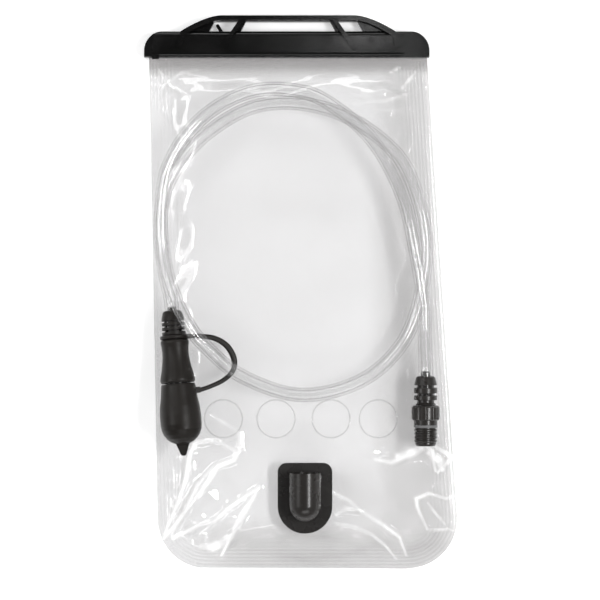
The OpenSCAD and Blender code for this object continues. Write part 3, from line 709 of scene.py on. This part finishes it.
def tube_line(steps):
    """Centre line of the tube: straight into both barbs, smooth through the coil stations."""
    coil = [
        np.array([COIL_CENTRE[0] + r * MM * math.cos(math.radians(a)),
                  COIL_CENTRE[1] + r * MM * math.sin(math.radians(a)), z * MM])
        for a, r, z in COIL
    ]
    first_end = COUPLING_TIP - COUPLING_DIR * 15 * MM
    last_end = VALVE_START + VALVE_DIR * 13 * MM
    p = [first_end, COUPLING_TIP, *coil, VALVE_START, last_end]
    last = len(p) - 1

    def heading(i):
        if i <= 1:
            return unit(p[1] - p[0])
        if i >= last - 1:
            return unit(p[last] - p[last - 1])
        reach = np.linalg.norm(p[i + 1] - p[i]) + np.linalg.norm(p[i] - p[i - 1])
        return (p[i + 1] - p[i - 1]) / reach

    line = []
    for i in range(last):
        a, b = p[i], p[i + 1]
        span = np.linalg.norm(b - a)
        for t in np.arange(steps) / steps:
            line.append(a * (2 * t**3 - 3 * t**2 + 1) + heading(i) * span * (t**3 - 2 * t**2 + t)
                        + b * (3 * t**2 - 2 * t**3) + heading(i + 1) * span * (t**3 - t**2))
    return np.array(line + [p[last]])


TUBE_LINE = tube_line(16)


def sweep_rings(line, radius, sides):
    """Rings of points square to the line."""
    rings = []
    for i in range(len(line)):
        d = unit(line[min(i + 1, len(line) - 1)] - line[max(i - 1, 0)])
        u = unit(np.cross(d, [0, 0, 1]))
        v = np.cross(u, d)
        turn = 2 * np.pi * np.arange(sides) / sides
        rings.append(line[i] + radius * (np.outer(np.cos(turn), u) + np.outer(np.sin(turn), v)))
    return np.concatenate(rings)


def drink_tube():
    """The hose as one hollow sweep, closed round both ends."""
    sides, rings = 32, len(TUBE_LINE)
    outer, inner = (sweep_rings(TUBE_LINE, r, sides) for r in (TUBE_R, TUBE_BORE_R))
    count = rings * sides
    faces = [f[::-1] for f in ring_faces(rings, sides)]
    faces += ring_faces(rings, sides, count)
    for start, flip in ((0, -1), (count - sides, 1)):
        for j in range(sides):
            k = (j + 1) % sides
            faces.append((start + j, count + start + j, count + start + k, start + k)[::flip])
    piece = add_mesh("tube_clear", np.concatenate([outer, inner]), faces, TUBE, "tube_set")
    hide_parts("drink_tube")


drink_tube()

# ---------------------------------------------------------------- tether of the dust cap
# Along the strap, in mm: out from the valve's axis, and along it. Then its width there.
STRAP = [
    (6, 20.1, 3.2), (12, 20.2, 3.2), (17, 20.6, 3.2), (27, 22.8, 3.6), (34.9, 28.6, 4.1), (38.8, 37.4, 4.0),
    (37.4, 45, 3.4), (31, 50.6, 3.1), (22.5, 54, 3.0), (15, 56, 2.9), (11.5, 56.1, 2.9),
]
STRAP_DROOP = math.radians(12)
STRAP_T = 2.0 * MM


def valve_axes():
    """Side and lift directions square to the valve's axis."""
    side = unit(np.cross([0, 0, 1], VALVE_DIR))
    lift = np.cross(VALVE_DIR, side)
    turn = (np.cos(STRAP_DROOP), np.sin(STRAP_DROOP))
    return side * turn[0] - lift * turn[1], side * turn[1] + lift * turn[0]


def smooth_path(points, steps):
    """Catmull-Rom curve through the points."""
    p = np.array(points, float)
    p = np.vstack([2 * p[0] - p[1], p, 2 * p[-1] - p[-2]])
    out = []
    for i in range(1, len(p) - 2):
        for t in np.arange(steps) / steps:
            out.append(0.5 * (2 * p[i] + (p[i + 1] - p[i - 1]) * t
                              + (2 * p[i - 1] - 5 * p[i] + 4 * p[i + 1] - p[i + 2]) * t**2
                              + (3 * p[i] - p[i - 1] - 3 * p[i + 1] + p[i + 2]) * t**3))
    return np.array(out + [p[-2]])


def tether_strap():
    """Round-cornered strap whose far end meets the cap."""
    side, lift = valve_axes()
    path = smooth_path(STRAP, 6) * MM
    line = VALVE_START + np.outer(path[:, 0], side) + np.outer(path[:, 1], VALVE_DIR)
    sides = 16
    turn = 2 * np.pi * np.arange(sides) / sides
    wide = np.sign(np.cos(turn)) * np.abs(np.cos(turn)) ** 0.6
    tall = np.sign(np.sin(turn)) * np.abs(np.sin(turn)) ** 0.6
    rings = []
    for i, point in enumerate(line):
        d = unit(line[min(i + 1, len(line) - 1)] - line[max(i - 1, 0)])
        across = np.cross(lift, d)
        rings.append(point + np.outer(wide * path[i, 2] / 2, across) + np.outer(tall * STRAP_T / 2, lift))
    faces = ring_faces(len(line), sides)
    last = (len(line) - 1) * sides
    faces += [tuple(range(sides))[::-1], tuple(range(last, last + sides))]
    strap = add_mesh("tether_strap", np.concatenate(rings), faces, WARM_RUBBER)
    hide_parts("cap_tether")
    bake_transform(strap)


def tether_ring():
    """The strap's other end: a ring held between the boot and the grip."""
    # Along the valve's axis and out from it, in mm.
    profile = [(19, 5.2), (19, 8.9), (19.4, 9.4), (21, 9.4), (21.4, 8.9), (21.4, 5.2)]
    sides = 64
    side, lift = valve_axes()
    turn = 2 * np.pi * np.arange(sides) / sides
    out = np.outer(np.cos(turn), side) + np.outer(np.sin(turn), lift)
    rings = [VALVE_START + VALVE_DIR * u * MM + out * r * MM for u, r in profile + profile[:1]]
    count = len(profile) * sides
    faces = [tuple(i % count for i in f) for f in ring_faces(len(rings), sides)]
    ring = add_mesh("tether_ring", np.concatenate(rings[:-1]), faces, WARM_RUBBER, "tube_set")


tether_strap()
tether_ring()

# ---------------------------------------------------------------- bag
moved = crumple()
film_piece("film_front", "front_film", 1, moved, FILM, seed=11)
film_piece("film_back", "back_film", -1, 0.5 * moved[:, ::-1], BACK_FILM, seed=71)

# Plain moulded rings above the port, in a row: centres in mm.
RING_CENTRES = [(-43, -84), (-8, -84), (28.6, -84), (60, -84)]
RING_R = 12.6 * MM
BEAD_R = 0.5 * MM
# A bead's height as a share of its width.
BEAD_FLATNESS = 0.16


def ring_bead(name, centre):
    """A low flattened bead on the front film."""
    steps, sides = 72, 8
    turn = 2 * np.pi * np.arange(steps + 1) / steps
    x, y = centre[0] * MM + RING_R * np.cos(turn), centre[1] * MM + RING_R * np.sin(turn)
    line = np.stack([x, y, np.full(steps + 1, FILM_HIGH.z - 0.1 * MM)], axis=1)
    verts = sweep_rings(line, BEAD_R, sides)[: steps * sides]
    verts[:, 2] = line[0, 2] + BEAD_FLATNESS * (verts[:, 2] - line[0, 2])
    last = (steps - 1) * sides
    faces = [f[::-1] for f in ring_faces(steps, sides)]
    faces += [(last + j, j, (j + 1) % sides, last + (j + 1) % sides) for j in range(sides)]
    piece = add_mesh(name, verts, faces, FILM, "reservoir")


for number, centre in enumerate(RING_CENTRES, 1):
    ring_bead(f"ring_{number}", centre)


# ---------------------------------------------------------------- stage
BAG_MIDDLE = Vector((5 * MM, 0, 0))


def area_light(name, place, size, power):
    """A rectangular lamp turned towards the middle of the bag."""
    lamp = bpy.data.lights.new(name, "AREA")
    lamp.shape = "RECTANGLE"
    lamp.size, lamp.size_y = size
    lamp.energy = power
    holder = bpy.data.objects.new(name, lamp)
    bpy.context.scene.collection.objects.link(holder)
    holder.location = place
    holder.rotation_euler = (BAG_MIDDLE - Vector(place)).to_track_quat("-Z", "Y").to_euler()
    return holder


def studio_sky():
    """White to the eye, dark straight overhead and bright near the horizon in reflections."""
    world = bpy.data.worlds.new("studio")
    world.use_nodes = True
    tree = world.node_tree
    tree.nodes.clear()
    coords = tree.nodes.new("ShaderNodeTexCoord")
    split = tree.nodes.new("ShaderNodeSeparateXYZ")
    lift = tree.nodes.new("ShaderNodeMapRange")
    for socket, number in zip(("From Min", "From Max", "To Min", "To Max"), (0.35, 0.9, 0.42, 0.04)):
        lift.inputs[socket].default_value = number
    sky = tree.nodes.new("ShaderNodeBackground")
    seen = tree.nodes.new("ShaderNodeBackground")
    seen.inputs["Color"].default_value = (1, 1, 1, 1)
    rays = tree.nodes.new("ShaderNodeLightPath")
    mix = tree.nodes.new("ShaderNodeMixShader")
    out = tree.nodes.new("ShaderNodeOutputWorld")
    tree.links.new(coords.outputs["Generated"], split.inputs[0])
    tree.links.new(split.outputs["Z"], lift.inputs["Value"])
    tree.links.new(lift.outputs["Result"], sky.inputs["Strength"])
    tree.links.new(rays.outputs["Is Camera Ray"], mix.inputs[0])
    tree.links.new(sky.outputs[0], mix.inputs[1])
    tree.links.new(seen.outputs[0], mix.inputs[2])
    tree.links.new(mix.outputs[0], out.inputs[0])
    return world


def stage():
    """Pale floor with a slight glow, soft lamps, and a card that only the clip mirrors."""
    scene = bpy.context.scene
    s = Shader("floor")
    paper = s.noise(30, 3)
    base = s.add("ShaderNodeBsdfDiffuse", Color=s.mix_color(paper, (0.9, 0.9, 0.9), (0.93, 0.93, 0.93)))
    glow = s.add("ShaderNodeEmission", Strength=0.42)
    both = s.add("ShaderNodeAddShader")
    s.tree.links.new(base.outputs[0], both.inputs[0])
    s.tree.links.new(glow.outputs[0], both.inputs[1])
    reach, level = 3, -0.4 * MM
    square = [(-reach, -reach, level), (reach, -reach, level), (reach, reach, level), (-reach, reach, level)]
    floor = add_mesh("floor", square, [(0, 1, 2, 3)], s.finish(both.outputs[0]), smooth=False)
    scene.world = studio_sky()
    area_light("key_right", (0.66, -0.05, 1.15), (0.55, 0.2), 9.5)
    area_light("soft_left", (-0.9, 0.1, 0.8), (0.6, 0.4), 3.2)
    area_light("soft_top", (0.0, 0.9, 0.7), (0.8, 0.25), 2.4)
    area_light("soft_low", (0.1, -0.9, 0.8), (0.8, 0.25), 2.4)
    area_light("soft_high", (-0.5, 0.35, 1.2), (0.3, 0.3), 1.8)
    card = area_light("clip_card", (0.092, 0.335, 1.55), (0.1, 0.04), 0.16)
    lit = bpy.data.collections.new("lit_by_card")
    lit.objects.link(NODES["slide_clip"])
    card.light_linking.receiver_collection = lit
    scene.view_settings.view_transform = "Standard"
    scene.cycles.transparent_max_bounces = 32
    scene.cycles.transmission_bounces = 16
    scene.cycles.max_bounces = 16


def camera():
    """Straight above the front, as the object was shown, with a long lens."""
    distance, wide = 1.6, 0.399
    lens = bpy.data.cameras.new("camera")
    lens.sensor_width = 36
    lens.lens = 36 * distance / wide
    holder = bpy.data.objects.new("camera", lens)
    holder.location = (8 * MM, -5 * MM, distance + 12 * MM)
    bpy.context.scene.collection.objects.link(holder)
    bpy.context.scene.camera = holder


stage()
camera()
